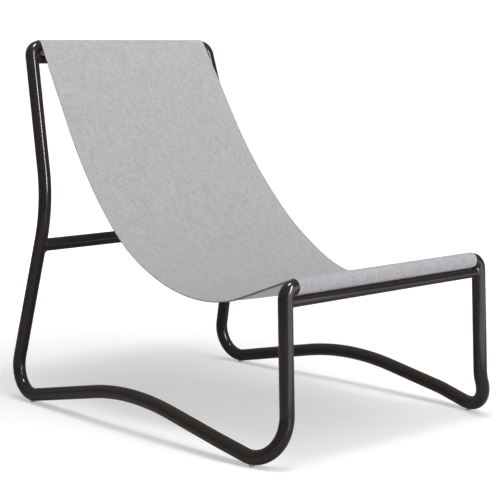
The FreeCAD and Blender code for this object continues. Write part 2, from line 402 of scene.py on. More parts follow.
@dataclass(frozen=True)
class WovenTextile:
    """Plain weave of coated yarns in mixed greys, read from the cloth's own UV in metres, with painted
    shade in the crevices between yarns.
    """

    pitch: float = 0.0015
    light: Colour = (0.485, 0.478, 0.484, 1.0)
    mid: Colour = (0.402, 0.395, 0.401, 1.0)
    dark: Colour = (0.230, 0.225, 0.230, 1.0)
    stops: Triple = (0.34, 0.50, 0.66)
    fleck: Grain = Grain(1.0, 2.0, 0.55)
    warp_fleck: float = 0.019
    weft_fleck: float = 0.010
    yarn_step: float = 3.7
    warp_seed: float = 1.3
    weft_seed: float = 8.9
    crossing: float = 4.0
    crown: float = 0.8
    shoulder: float = 0.35
    clouds: Grain = Grain(9.0, 3.0, 0.6)
    wash: Spread = Spread(0.20, 0.20)
    # Share of the dark grey that is painted into the crevices between yarns as shade.
    painted_crevice_shade: float = 0.62
    relief: Relief = Relief(0.00045, 0.6)
    roughness: Spread = Spread(0.82, 0.08)
    specular: float = 0.25
    sheen: float = 0.12
    sheen_roughness: float = 0.5

    def yarn(self, graph: Graph, count: Wave, run: Wave, seed: float) -> Wave:
        """The shade of a set of yarns, from its count across and its run in flecks."""
        spot = graph.vector(count.floor() * self.yarn_step, run, seed)
        return graph.noise(spot, self.fleck)

    def fill(self, graph: Graph) -> None:
        """Builds the finish's nodes.

        Args:
            graph: the material's graph.
        """
        spot, across, along, _ = graph.place("UV")
        warp = across / self.pitch
        weft = along / self.pitch
        warp_wave = (warp * math.pi).sine()
        weft_wave = (weft * math.pi).sine()
        over = (warp_wave * weft_wave * self.crossing + 0.5).limited()
        warp_shade = self.yarn(graph, warp, along / self.warp_fleck, self.warp_seed)
        weft_shade = self.yarn(graph, weft, across / self.weft_fleck, self.weft_seed)
        shade = warp_shade * over + weft_shade * (1.0 - over)
        warp_round = abs(warp_wave) ** self.crown * abs(weft_wave) ** self.shoulder
        weft_round = abs(weft_wave) ** self.crown * abs(warp_wave) ** self.shoulder
        relief = warp_round * over + weft_round * (1.0 - over)
        ramp = tuple(zip(self.stops, (self.dark, self.mid, self.light)))
        tint = graph.node("ShaderNodeValToRGB", {"ramp": ramp}, {"Fac": shade})["Color"]
        washed = graph.mix(tint, self.mid, self.wash.over(graph.noise(spot, self.clouds)))
        graph.surface(
            # Painted shade: the colour is pulled towards the dark grey where the yarn relief falls off,
            # in the crevices between yarns.
            Base_Color=graph.mix(washed, self.dark, (1.0 - relief) * self.painted_crevice_shade),
            Roughness=self.roughness.over(relief),
            Normal=graph.bump(relief, self.relief),
            Specular_IOR_Level=self.specular,
            Sheen_Weight=self.sheen,
            Sheen_Roughness=self.sheen_roughness,
        )


@dataclass(frozen=True)
class TwillTape:
    """Narrow twill tape, whose ribs run on the slant; its colour is painted darker in the grooves
    between ribs as shade, and flecked at random by fuzz.
    """

    rib: float = 0.0011
    slant: float = 0.55
    rib_share: float = 0.8
    relief: Relief = Relief(0.0003, 0.6)
    roughness: Spread = Spread(0.84, 0.08)
    specular: float = 0.25
    sheen: float = 0.1
    light: Colour = (0.130, 0.118, 0.108, 1.0)
    dark: Colour = (0.060, 0.054, 0.050, 1.0)
    fuzz: Grain = Grain(1500.0)

    def fill(self, graph: Graph) -> None:
        """Builds the finish's nodes.

        Args:
            graph: the material's graph.
        """
        spot, across, along, _ = graph.place("UV")
        ribs = ((along + across * self.slant) * (math.pi / self.rib)).sine()
        picks = (across * (2 * math.pi / self.rib)).sine()
        relief = abs(ribs) * self.rib_share + abs(picks) * (1.0 - self.rib_share)
        fuzz = graph.noise(spot, self.fuzz)
        graph.surface(
            # Partly painted shade: the colour darkens towards the dark tone in the grooves between ribs,
            # where the relief is low; the fuzz adds the tape's own random flecks.
            Base_Color=graph.mix(self.dark, self.light, (relief * 0.6 + fuzz * 0.5).limited()),
            Roughness=self.roughness.over(fuzz),
            Normal=graph.bump(relief, self.relief),
            Specular_IOR_Level=self.specular,
            Sheen_Weight=self.sheen,
        )


@dataclass(frozen=True)
class Thread:
    """Twisted polyester sewing thread, with a painted highlight along the crest of each twist."""

    colour: Colour = (0.360, 0.356, 0.362, 1.0)
    lit: Colour = (0.520, 0.515, 0.520, 1.0)
    twist_per_metre: float = 1800.0
    twist_relief: Relief = Relief(0.00008)
    fuzz: Grain = Grain(900.0)
    roughness: Spread = Spread(0.55, 0.2)
    specular: float = 0.4

    def fill(self, graph: Graph) -> None:
        """Builds the finish's nodes.

        Args:
            graph: the material's graph.
        """
        spot, x, y, z = graph.place("Object")
        twist = abs(((x + y + z) * (math.pi * self.twist_per_metre)).sine())
        fuzz = graph.noise(spot, self.fuzz)
        graph.surface(
            # Partly painted highlight: the colour turns to the lit tone on each twist's crest; the fuzz
            # adds the thread's own random tone.
            Base_Color=graph.mix(self.colour, self.lit, (twist * 0.5 + fuzz * 0.5).limited()),
            Roughness=self.roughness.over(fuzz),
            Normal=graph.bump(twist, self.twist_relief),
            Specular_IOR_Level=self.specular,
        )


@dataclass(frozen=True)
class CloudyNylon:
    """Translucent-looking nylon of the floor glides, scuffed where they stand."""

    colour: Colour = (0.560, 0.520, 0.510, 1.0)
    cloud: Colour = (0.430, 0.400, 0.395, 1.0)
    scuff: Colour = (0.300, 0.285, 0.280, 1.0)
    scuff_height: float = 0.0012
    scuff_roughness: float = 0.2
    clouds: Grain = Grain(240.0, 3.0)
    grit: Grain = Grain(1600.0, 3.0, 0.7)
    grit_relief: Relief = Relief(0.00005)
    roughness: Spread = Spread(0.38, 0.2)
    cloudiness: float = 0.15
    light_depth: Triple = (0.002, 0.0015, 0.0012)

    def fill(self, graph: Graph) -> None:
        """Builds the finish's nodes.

        Args:
            graph: the material's graph.
        """
        spot, _, _, height = graph.place("Object")
        grit = graph.noise(spot, self.grit)
        low = (1.0 - height / self.scuff_height).limited()
        body = graph.mix(self.colour, self.cloud, graph.noise(spot, self.clouds))
        graph.surface(
            Base_Color=graph.mix(body, self.scuff, (low * grit).limited()),
            Roughness=self.roughness.over(grit) + low * self.scuff_roughness,
            Normal=graph.bump(grit, self.grit_relief),
            Subsurface_Weight=self.cloudiness,
            Subsurface_Radius=self.light_depth,
        )


@dataclass(frozen=True)
class GlassFibre:
    """Pulled glass-fibre rod, streaked along its length."""

    colour: Colour = (0.070, 0.068, 0.066, 1.0)
    streak: Colour = (0.150, 0.145, 0.138, 1.0)
    fibres: tuple[float, float, Grain] = (12.0, 900.0, Grain(1.0, 3.0))
    relief: Relief = Relief(0.00006, 0.6)
    roughness: Spread = Spread(0.42, 0.2)

    def fill(self, graph: Graph) -> None:
        """Builds the finish's nodes.

        Args:
            graph: the material's graph.
        """
        fibres = graph.streaks(*self.fibres)
        graph.surface(
            Base_Color=graph.mix(self.colour, self.streak, fibres),
            Roughness=self.roughness.over(fibres),
            Normal=graph.bump(fibres, self.relief),
        )


@dataclass(frozen=True)
class DrawnSteel:
    """Uncoated drawn steel of the inner sleeves."""

    colour: Colour = (0.430, 0.425, 0.420, 1.0)
    oxide: Colour = (0.230, 0.215, 0.200, 1.0)
    lines: tuple[float, float, Grain] = (20.0, 1400.0, Grain(1.0))
    relief: Relief = Relief(0.00003, 0.6)
    roughness: Spread = Spread(0.28, 0.18)
    bloom: Grain = Grain(80.0, 4.0, 0.6)
    bloom_share: float = 0.6
    dulling: float = 0.15

    def fill(self, graph: Graph) -> None:
        """Builds the finish's nodes.

        Args:
            graph: the material's graph.
        """
        lines = graph.streaks(*self.lines)
        bloom = graph.noise(graph.place("Object")[0], self.bloom)
        graph.surface(
            Base_Color=graph.mix(self.colour, self.oxide, (bloom * self.bloom_share).limited()),
            Roughness=self.roughness.over(lines),
            Metallic=1.0 - bloom * self.dulling,
            Normal=graph.bump(lines, self.relief),
        )


# Bent lines


@dataclass(frozen=True)
class Corner:
    """A corner of a bent line before it is rounded, and the radius of its round."""

    place: Vector
    bend: float


@dataclass(frozen=True)
class Run:
    """A straight move."""

    step: Vector

    @property
    def length(self) -> float:
        """Length of the move."""
        return self.step.length

    def matrix(self, share: float) -> Matrix:
        """The part of the move that the share covers, as a transform."""
        return Matrix.Translation(self.step * share)

    def reversed(self) -> "Run":
        """The same move taken backwards."""
        return Run(-self.step)


@dataclass(frozen=True)
class Turn:
    """A move round an axis through a centre."""

    centre: Vector
    axis: Vector
    angle: float
    radius: float

    @property
    def length(self) -> float:
        """Length of the arc."""
        return self.radius * self.angle

    def matrix(self, share: float) -> Matrix:
        """The part of the move that the share covers, as a transform."""
        there = Matrix.Translation(self.centre)
        return there @ Matrix.Rotation(self.angle * share, 4, self.axis) @ there.inverted()

    def reversed(self) -> "Turn":
        """The same move taken backwards."""
        return Turn(self.centre, -self.axis, self.angle, self.radius)


Move = Run | Turn


@dataclass(frozen=True)
class Station:
    """A place on a bent line, with its heading and its distance from the start."""

    place: Vector
    heading: Vector
    along: float


@dataclass(frozen=True)
class BentLine:
    """Straight runs joined by tangent arcs, as a bender makes them."""

    start: Vector
    heading: Vector
    moves: tuple[Move, ...]

    @classmethod
    def rounded(cls, corners: Sequence[Corner]) -> "BentLine":
        """Rounds a line of corners.

        Args:
            corners: the corners in order; the first and last are its ends.

        Returns:
            The bent line.
        """
        moves: list[Move] = []
        here = corners[0].place
        for before, corner, after in zip(corners, corners[1:], corners[2:]):
            into = (corner.place - before.place).normalized()
            out = (after.place - corner.place).normalized()
            angle = into.angle(out)
            entry = corner.place - into * (corner.bend * math.tan(angle / 2))
            to_centre = (out - into).normalized()
            centre = corner.place + to_centre * (corner.bend / math.cos(angle / 2))
            moves.append(Run(entry - here))
            moves.append(Turn(centre, into.cross(out).normalized(), angle, corner.bend))
            here = corner.place + out * (corner.bend * math.tan(angle / 2))
        moves.append(Run(corners[-1].place - here))
        first = (corners[1].place - corners[0].place).normalized()
        return cls(corners[0].place.copy(), first, tuple(moves))

    @property
    def length(self) -> float:
        """Length of the whole line."""
        return sum(move.length for move in self.moves)

    def ends(self) -> Iterator[Station]:
        """The line's start and the end of each of its moves.

        Yields:
            Each place.
        """
        place, heading, passed = self.start, self.heading, 0.0
        yield Station(place, heading, passed)
        for move in self.moves:
            whole = move.matrix(1.0)
            place, heading = whole @ place, whole.to_3x3() @ heading
            passed += move.length
            yield Station(place, heading, passed)

    def stations(self, spacing: float, lead: float = 0.0) -> Iterator[Station]:
        """Evenly spaced places along the line.

        Args:
            spacing: distance from one place to the next.
            lead: distance of the first place from the start, and of the last from the end.

        Yields:
            Each place.
        """
        due = lead
        for first, move in zip(self.ends(), self.moves):
            while due <= first.along + move.length and due <= self.length - lead:
                part = move.matrix((due - first.along) / max(move.length, TINY))
                yield Station(part @ first.place, part.to_3x3() @ first.heading, due)
                due += spacing

    def reversed(self) -> "BentLine":
        """The same line taken backwards.

        Returns:
            The line from its end to its start.
        """
        *_, last = self.ends()
        moves = tuple(move.reversed() for move in reversed(self.moves))
        return BentLine(last.place, -last.heading, moves)

    def then(self, other: "BentLine") -> "BentLine":
        """This line followed by one that starts where it ends."""
        return BentLine(self.start, self.heading, self.moves + other.moves)

    def trimmed(self, gap: float) -> "BentLine":
        """This line, which starts and ends straight, less a gap at each end.

        Args:
            gap: length taken off each end.

        Returns:
            The shorter line.
        """
        first, last = self.moves[0], self.moves[-1]
        start = self.start + first.step.normalized() * gap
        head = Run(first.step * (1 - gap / first.length))
        tail = Run(last.step * (1 - gap / last.length))
        return BentLine(start, self.heading, (head, *self.moves[1:-1], tail))


def only(kind: type, items: Iterable[Any]) -> list[Any]:
    """The items of one kind."""
    return [item for item in items if isinstance(item, kind)]


def extruded(mesh: BMesh, edges: list[BMEdge]) -> tuple[list[BMVert], list[BMEdge]]:
    """Extrudes edges in place, for their new vertices and edges."""
    made = bmesh.ops.extrude_edge_only(mesh, edges=edges)["geom"]
    return only(BMVert, made), only(BMEdge, made)


@dataclass
class Sweep:
    """Draws a section along a bent line inside a bmesh.

    Two vertex layers go with it: the distance along the line, and the heading's tilt
    about X, from +Y.
    """

    mesh: BMesh
    edges: list[BMEdge]
    longest_run: float = 0.06
    longest_arc: float = 0.010
    widest_turn: float = math.radians(4.5)

    def __post_init__(self) -> None:
        """Adds the vertex layers."""
        self.along = self.mesh.verts.layers.float.new("along")
        self.tilt = self.mesh.verts.layers.float.new("tilt")

    def follow(self, line: BentLine) -> None:
        """Extrudes runs and spins arcs, one short step at a time.

        Args:
            line: the line to follow; the section already stands at its start.
        """
        heading = line.heading.copy()
        passed = 0.0
        self.stamp(passed, heading)
        for move in line.moves:
            parts = self.parts(move)
            turn = move.matrix(1.0 / parts).to_3x3()
            for _ in range(parts):
                self.advance(move, parts)
                heading = turn @ heading
                passed += move.length / parts
                self.stamp(passed, heading)

    def parts(self, move: Move) -> int:
        """The number of steps that a move takes.

        Args:
            move: the move.

        Returns:
            The number.
        """
        if isinstance(move, Run):
            return max(1, math.ceil(move.length / self.longest_run))
        by_turn = math.ceil(move.angle / self.widest_turn)
        return max(1, by_turn, math.ceil(move.length / self.longest_arc))

    def advance(self, move: Move, parts: int) -> None:
        """Takes one step of a move.

        Args:
            move: the move.
            parts: the number of its steps.
        """
        if isinstance(move, Run):
            verts, self.edges = extruded(self.mesh, self.edges)
            bmesh.ops.translate(self.mesh, verts=verts, vec=move.step / parts)
        else:
            verts = {vert for edge in self.edges for vert in edge.verts}
            last = bmesh.ops.spin(
                self.mesh,
                geom=[*sorted(verts, key=vertex_order), *self.edges],
                cent=move.centre,
                axis=move.axis,
                angle=move.angle / parts,
                steps=1,
                use_merge=False,
                use_duplicate=False,
            )["geom_last"]
            self.edges = only(BMEdge, last)
        self.mesh.verts.index_update()

    def stamp(self, along: float, heading: Vector) -> None:
        """Notes distance and tilt on the section's vertices.

        Args:
            along: the distance.
            heading: the heading there.
        """
        tilt = math.atan2(heading.z, heading.y)
        for edge in self.edges:
            for vert in edge.verts:
                vert[self.along] = along
                vert[self.tilt] = tilt


def vertex_order(vert: BMVert) -> int:
    """Sorting key that keeps vertices in the order they were made."""
    return vert.index


@dataclass(frozen=True)
class Profile:
    """A smooth curve through evenly spaced values, without overshoot."""

    values: tuple[float, ...]

    def slope(self, index: int) -> float:
        """The curve's slope at one value.

        Args:
            index: the value's number.

        Returns:
            The rise per value.
        """
        if index in (0, len(self.values) - 1):
            inner = max(1, index)
            return self.values[inner] - self.values[inner - 1]
        before = self.values[index] - self.values[index - 1]
        after = self.values[index + 1] - self.values[index]
        return 0.0 if before * after <= 0 else 2 * before * after / (before + after)

    def at(self, share: float) -> float:
        """Reads the curve.

        Args:
            share: from 0 at the first value to 1 at the last.

        Returns:
            The value there.
        """
        place = min(max(share, 0.0), 1.0) * (len(self.values) - 1)
        index = min(int(place), len(self.values) - 2)
        t = place - index
        low, high = self.values[index], self.values[index + 1]
        rise = t * t * (3 - 2 * t)
        lead = t * (1 - t) ** 2 * self.slope(index)
        tail = t * t * (1 - t) * self.slope(index + 1)
        return low + (high - low) * rise + lead - tail


# Pieces


def put(name: str, data: bpy.types.ID) -> bpy.types.Object:
    """Puts a new object in the scene.

    Args:
        name: its name.
        data: its mesh, light or camera.

    Returns:
        The object.
    """
    thing = bpy.data.objects.new(name, data)
    bpy.context.scene.collection.objects.link(thing)
    return thing


def solid(name: str, mesh: BMesh, finish: Finish) -> bpy.types.Object:
    """Turns a bmesh into an object with one finish.

    Args:
        name: the object's name.
        mesh: its mesh; it is freed.
        finish: its finish.

    Returns:
        The object.
    """
    data = bpy.data.meshes.new(name)
    mesh.to_mesh(data)
    mesh.free()
    data.materials.append(material_of(finish))
    return put(name, data)


def settle(
    name: str,
    mesh: BMesh,
    finish: Finish,
    slot: Slot,
    stands_for: Sequence[str] = (),
    outward: bool = True,
) -> bpy.types.Object:
    """Turns a bmesh into a finished piece that rides on the frame.

    Args:
        name: the piece's name.
        mesh: its mesh, in the row frame; it is freed.
        finish: its finish.
        slot: not used.
        stands_for: the CAD nodes that it takes the place of.
        outward: whether the normals are worked out again.

    Returns:
        The new object.
    """
    if outward:
        bmesh.ops.recalc_face_normals(mesh, faces=mesh.faces[:])
    for face in mesh.faces:
        face.smooth = True
    piece = solid(name, mesh, finish)
    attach(piece, BODY)
    if stands_for:
        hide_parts(*stands_for)
    log.info("%s: %d vertices", name, len(piece.data.vertices))
    return piece


def sharpen_rims(mesh: BMesh) -> None:
    """Keeps the open ends of a tube crisp, so that its skin is shaded as round up to them."""
    for edge in mesh.edges:
        edge.smooth = not edge.is_boundary


def add_wall(piece: bpy.types.Object, thickness: float, offset: float) -> None:
    """Gives a surface its thickness.

    Args:
        piece: the piece.
        thickness: the wall in metres.
        offset: -1 grows inwards, 0 both ways.
    """
    wall = piece.modifiers.new("wall", "SOLIDIFY")
    wall.thickness = thickness
    wall.offset = offset
    wall.use_even_offset = True


SOFT_EDGE_FACES = 2
SHARP = math.radians(50.0)


def add_soft_edge(piece: bpy.types.Object, width: float) -> None:
    """Rounds the hard edges of a piece that already has its wall.

    Args:
        piece: the piece.
        width: width of the round.
    """
    edge = piece.modifiers.new("soft_edge", "BEVEL")
    edge.width = width
    edge.segments = SOFT_EDGE_FACES
    edge.limit_method = "ANGLE"
    edge.angle_limit = SHARP
    edge.harden_normals = True


@dataclass(frozen=True)
class TubeStock:
    """A size of round tube."""

    radius: float
    wall: float
    sides: int = 48

    def section(self, mesh: BMesh, place: Vector, heading: Vector) -> list[BMEdge]:
        """Starts an empty mesh with a circle of this tube.

        Args:
            mesh: the mesh.
            place: the circle's centre.
            heading: its axis.

        Returns:
            The circle's edges.
        """
        turn = Z_AXIS.rotation_difference(heading).to_matrix().to_4x4()
        bmesh.ops.create_circle(
            mesh,
            cap_ends=False,
            segments=self.sides,
            radius=self.radius,
            matrix=Matrix.Translation(place) @ turn,
        )
        return mesh.edges[:]


FRAME_TUBE = TubeStock(0.014, 0.002)
SLIM_TUBE = TubeStock(0.010, 0.0015, 40)


@dataclass(frozen=True)
class SideLoop:
    """Half of the continuous loop: front leg, floor runner, upright and half of each rail."""

    stock: TubeStock = FRAME_TUBE
    seam: float = 0.00075
    front_corner: Corner = Corner(Vector((-0.2700, -0.4195, 0.3315)), 0.022)
    leg_kick: Corner = Corner(Vector((-0.2730, -0.4240, 0.0890)), 0.073)
    front_foot: Corner = Corner(Vector((-0.3025, -0.4250, 0.0012)), 0.064)
    runner_front: Corner = Corner(Vector((-0.3150, -0.2830, 0.0340)), 0.105)
    runner_crest: Corner = Corner(Vector((-0.3130, -0.0055, 0.0870)), 0.690)
    rear_foot: Corner = Corner(Vector((-0.3035, 0.4485, -0.0005)), 0.061)
    upright_knee: Corner = Corner(Vector((-0.2750, 0.3270, 0.4365)), 0.310)
    top_corner: Corner = Corner(Vector((-0.2500, 0.4085, 0.7770)), 0.022)

    def centreline(self) -> BentLine:
        """The tube's centreline on the left side.

        Returns:
            The line, from the front seam to the top seam.
        """
        bends = [
            self.front_corner,
            self.leg_kick,
            self.front_foot,
            self.runner_front,
            self.runner_crest,
            self.rear_foot,
            self.upright_knee,
            self.top_corner,
        ]
        front, top = bends[0].place.copy(), bends[-1].place.copy()
        front.x = top.x = -self.seam
        return BentLine.rounded([Corner(front, 0.0), *bends, Corner(top, 0.0)])

    def skin(self) -> BMesh:
        """The outer skin of the left half.

        Returns:
            Its mesh.
        """
        mesh = bmesh.new()
        line = self.centreline()
        edges = self.stock.section(mesh, line.start, line.heading)
        Sweep(mesh, edges).follow(line)
        bmesh.ops.recalc_face_normals(mesh, faces=mesh.faces[:])
        return mesh

    def build(self, side: Side) -> None:
        """Makes one half.

        Args:
            side: which half.
        """
        mesh = self.skin()
        if side is Side.RIGHT:
            bmesh.ops.scale(mesh, verts=mesh.verts[:], vec=(-1.0, 1.0, 1.0))
            bmesh.ops.reverse_faces(mesh, faces=mesh.faces[:])
        sharpen_rims(mesh)
        name = side.label + "_side_loop"
        node = side.label + "_side_tube"
        piece = settle(name, mesh, PowderCoat(), Slot.FRAME, [node], outward=False)
        add_wall(piece, self.stock.wall, -1.0)


@dataclass
class CrossTube:
    """A straight tube between the two side loops, coped to them and welded all round.

    The bead's face is given by points, each a share of the way from the side loop to the
    tube and a share of the crown.
    """

    name: str
    node: str
    place: Vector
    stock: TubeStock
    bead: float = 0.0032
    crown: float = 0.0002
    sunk: float = 0.0006
    bead_face: tuple[tuple[float, float], ...] = ((0.2, 0.6), (0.5, 0.2), (0.8, 0.6))
    bead_points: int = 6
    bead_steps: int = 120
    cuts: int = 5
    search_step: float = 0.001

    def seat_on(self, tree: BVHTree, start: Vector) -> Vector:
        """Where a line along -X meets the side tube; on its centre where it only grazes it."""
        hit = tree.ray_cast(start, -X_AXIS)[0]
        return Vector((self.reach if hit is None else hit.x, start.y, start.z))

    def distance(self, station: Station) -> float:
        """How far a station is from this tube's axis, squared."""
        away = station.place - self.place
        return away.y**2 + away.z**2

    def build(self, line: BentLine, tree: BVHTree) -> None:
        """Makes the tube and its two weld beads.

        Args:
            line: the left side tube's centreline.
            tree: the left side tube's skin.
        """
        self.reach = min(line.stations(self.search_step), key=self.distance).place.x
        mesh = bmesh.new()
        middle = self.stock.section(mesh, self.place, X_AXIS)
        for sign in (1.0, -1.0):
            for vert in extruded(mesh, middle)[0]:
                contact = self.seat_on(tree, Vector((0.0, vert.co.y, vert.co.z)))
                vert.co.x = -sign * (contact.x - self.sunk)
        between = [e for e in mesh.edges if abs(e.verts[0].co.x - e.verts[1].co.x) > self.bead]
        bmesh.ops.subdivide_edges(mesh, edges=between, cuts=self.cuts)
        sharpen_rims(mesh)
        tube = settle(self.name, mesh, PowderCoat(), Slot.FRAME, [self.node])
        add_wall(tube, self.stock.wall, -1.0)
        self.build_welds(tree)

    def build_welds(self, tree: BVHTree) -> None:
        """Makes the fillet welds at both ends.

        The bead's section is a closed ring of points that is spun round the tube, then
        each point is laid on the tube, on the side loop or between them.

        Args:
            tree: the left side tube's skin.
        """
        mesh = bmesh.new()
        role = mesh.verts.layers.int.new("role")
        points = self.bead_points
        ring = bmesh.ops.create_circle(mesh, segments=points, radius=self.bead / 2)["verts"]
        turn = Matrix.Rotation(math.radians(90.0), 4, "X")
        around = self.stock.radius + self.bead
        arm = Vector((self.reach, self.place.y, self.place.z + around))
        bmesh.ops.transform(mesh, matrix=Matrix.Translation(arm) @ turn, verts=ring)
        for index, vert in enumerate(ring):
            vert[role] = index
        bmesh.ops.spin(
            mesh,
            geom=[*ring, *mesh.edges],
            cent=self.place,
            axis=X_AXIS,
            angle=2 * math.pi,
            steps=self.bead_steps,
            use_merge=True,
            use_duplicate=False,
        )
        uv = mesh.loops.layers.uv.new("UVMap")
        angles = {}
        for vert in mesh.verts:
            angles[vert] = math.atan2(vert.co.z - self.place.z, vert.co.y - self.place.y)
            vert.co = self.bead_point(tree, angles[vert], vert[role])
        for face in mesh.faces:
            spread = [angles[loop.vert] for loop in face.loops]
            wraps = max(spread) - min(spread) > math.pi
            for loop in face.loops:
                angle = angles[loop.vert]
                angle += 2 * math.pi if wraps and angle < 0 else 0.0
                loop[uv].uv = (angle * around, loop.vert[role] / (points - 1))
        everything = mesh.verts[:] + mesh.edges[:] + mesh.faces[:]
        bmesh.ops.mirror(mesh, geom=everything, axis="X", merge_dist=-1)
        settle(self.name + "_welds", mesh, WeldBead(), Slot.FRAME, [self.node + "_welds"])

    def bead_point(self, tree: BVHTree, angle: float, role: int) -> Vector:
        """One point of the bead.

        Args:
            tree: the left side tube's skin.
            angle: its place round the cross tube.
            role: first on the side loop, then over the bead's face to the tube, and below.

        Returns:
            The point.
        """
        radial = Vector((0.0, math.cos(angle), math.sin(angle)))
        rim = self.place + radial * self.stock.radius
        root = self.seat_on(tree, Vector((0.0, rim.y, rim.z)))
        on_loop = tree.find_nearest(root + radial * self.bead)[0]
        on_tube = root + X_AXIS * self.bead
        proud = (radial + X_AXIS).normalized() * self.crown
        low = radial * self.sunk
        points = (
            on_loop - X_AXIS * self.sunk,
            *(on_loop.lerp(on_tube, way) + proud * rise for way, rise in self.bead_face),
            on_tube - low,
            root - low - X_AXIS * self.sunk,
        )
        return points[role]


@dataclass
class RailWrap:
    """How the sling passes round one rail and its rod, seen along X.

    It comes over the rail, round its outer side and back in through the gap above the
    slim cross tube, where it loops round a rod that is too thick to follow. The loop's end
    comes back out through the gap as a seam allowance that lies against the first layer.
    """

    rail: Vector
    cross_tube: Vector
    seat_side: int
    slope: float
    ease: float = 0.0003
    rod_radius: float = 0.0040
    rod_ease: float = 0.0002
    neck: float = 0.0010
    allowance: float = 0.0070
    layer_gap: float = 0.0001

    def __post_init__(self) -> None:
        """Works out the wrap's directions and the rod's place."""
        gap = self.cross_tube - self.rail
        self.down = gap.normalized()
        self.inward = Vector((0.0, -self.down.z, self.down.y)) * self.seat_side
        angle = math.radians(self.slope)
        self.lift = Vector((0.0, self.seat_side * math.sin(angle), math.cos(angle)))
        self.hold = FRAME_TUBE.radius + self.ease + FABRIC / 2
        self.ring = self.rod_radius + self.rod_ease + FABRIC / 2
        outside = self.ring + FABRIC / 2 + self.ease
        to_rail = FRAME_TUBE.radius + outside
        to_tube = SLIM_TUBE.radius + outside
        self.rod_down = (gap.length**2 + to_rail**2 - to_tube**2) / (2 * gap.length)
        self.rod_in = math.sqrt(to_rail**2 - self.rod_down**2)
        self.rod = self.rail + self.down * self.rod_down + self.inward * self.rod_in

    @property
    def over(self) -> Vector:
        """Where the sling's middle surface leaves the rail for the seat."""
        return self.rail + self.lift * self.hold

    @property
    def under(self) -> Vector:
        """Where the sling's under face does."""
        return self.over - self.lift * (FABRIC / 2)

    def line(self) -> BentLine:
        """The sling's middle surface at this rail.

        Returns:
            The line, from the seat, round the rod and back to the cloth's end.
        """
        axis = X_AXIS * self.seat_side
        turn = math.atan2(axis.dot(self.lift.cross(self.down)), self.lift.dot(self.down))
        arm = self.ring + self.neck
        near = self.rod_down - self.hold + self.neck
        second = self.hold + FABRIC + self.layer_gap
        far = second + self.neck - self.rod_down
        inset = self.rod_in - math.sqrt(arm**2 - near**2)
        outset = self.rod_in - math.sqrt(arm**2 - far**2)
        knuckle = self.rail + self.down * (self.hold - self.neck) + self.inward * inset
        second_knuckle = self.rail + self.down * (second + self.neck) + self.inward * outset
        closed = math.asin(near / arm) + math.asin(far / arm)
        moves = (
            Turn(self.rail, axis, turn % (2 * math.pi), self.hold),
            Run(self.inward * inset),
            Turn(knuckle, axis, math.acos(near / arm), self.neck),
            Turn(self.rod, -axis, 2 * math.pi - closed, self.ring),
            Turn(second_knuckle, axis, math.acos(far / arm), self.neck),
            Run(self.inward * -(outset + self.allowance - self.hold / 2)),
        )
        return BentLine(self.over, axis.cross(self.lift), moves)


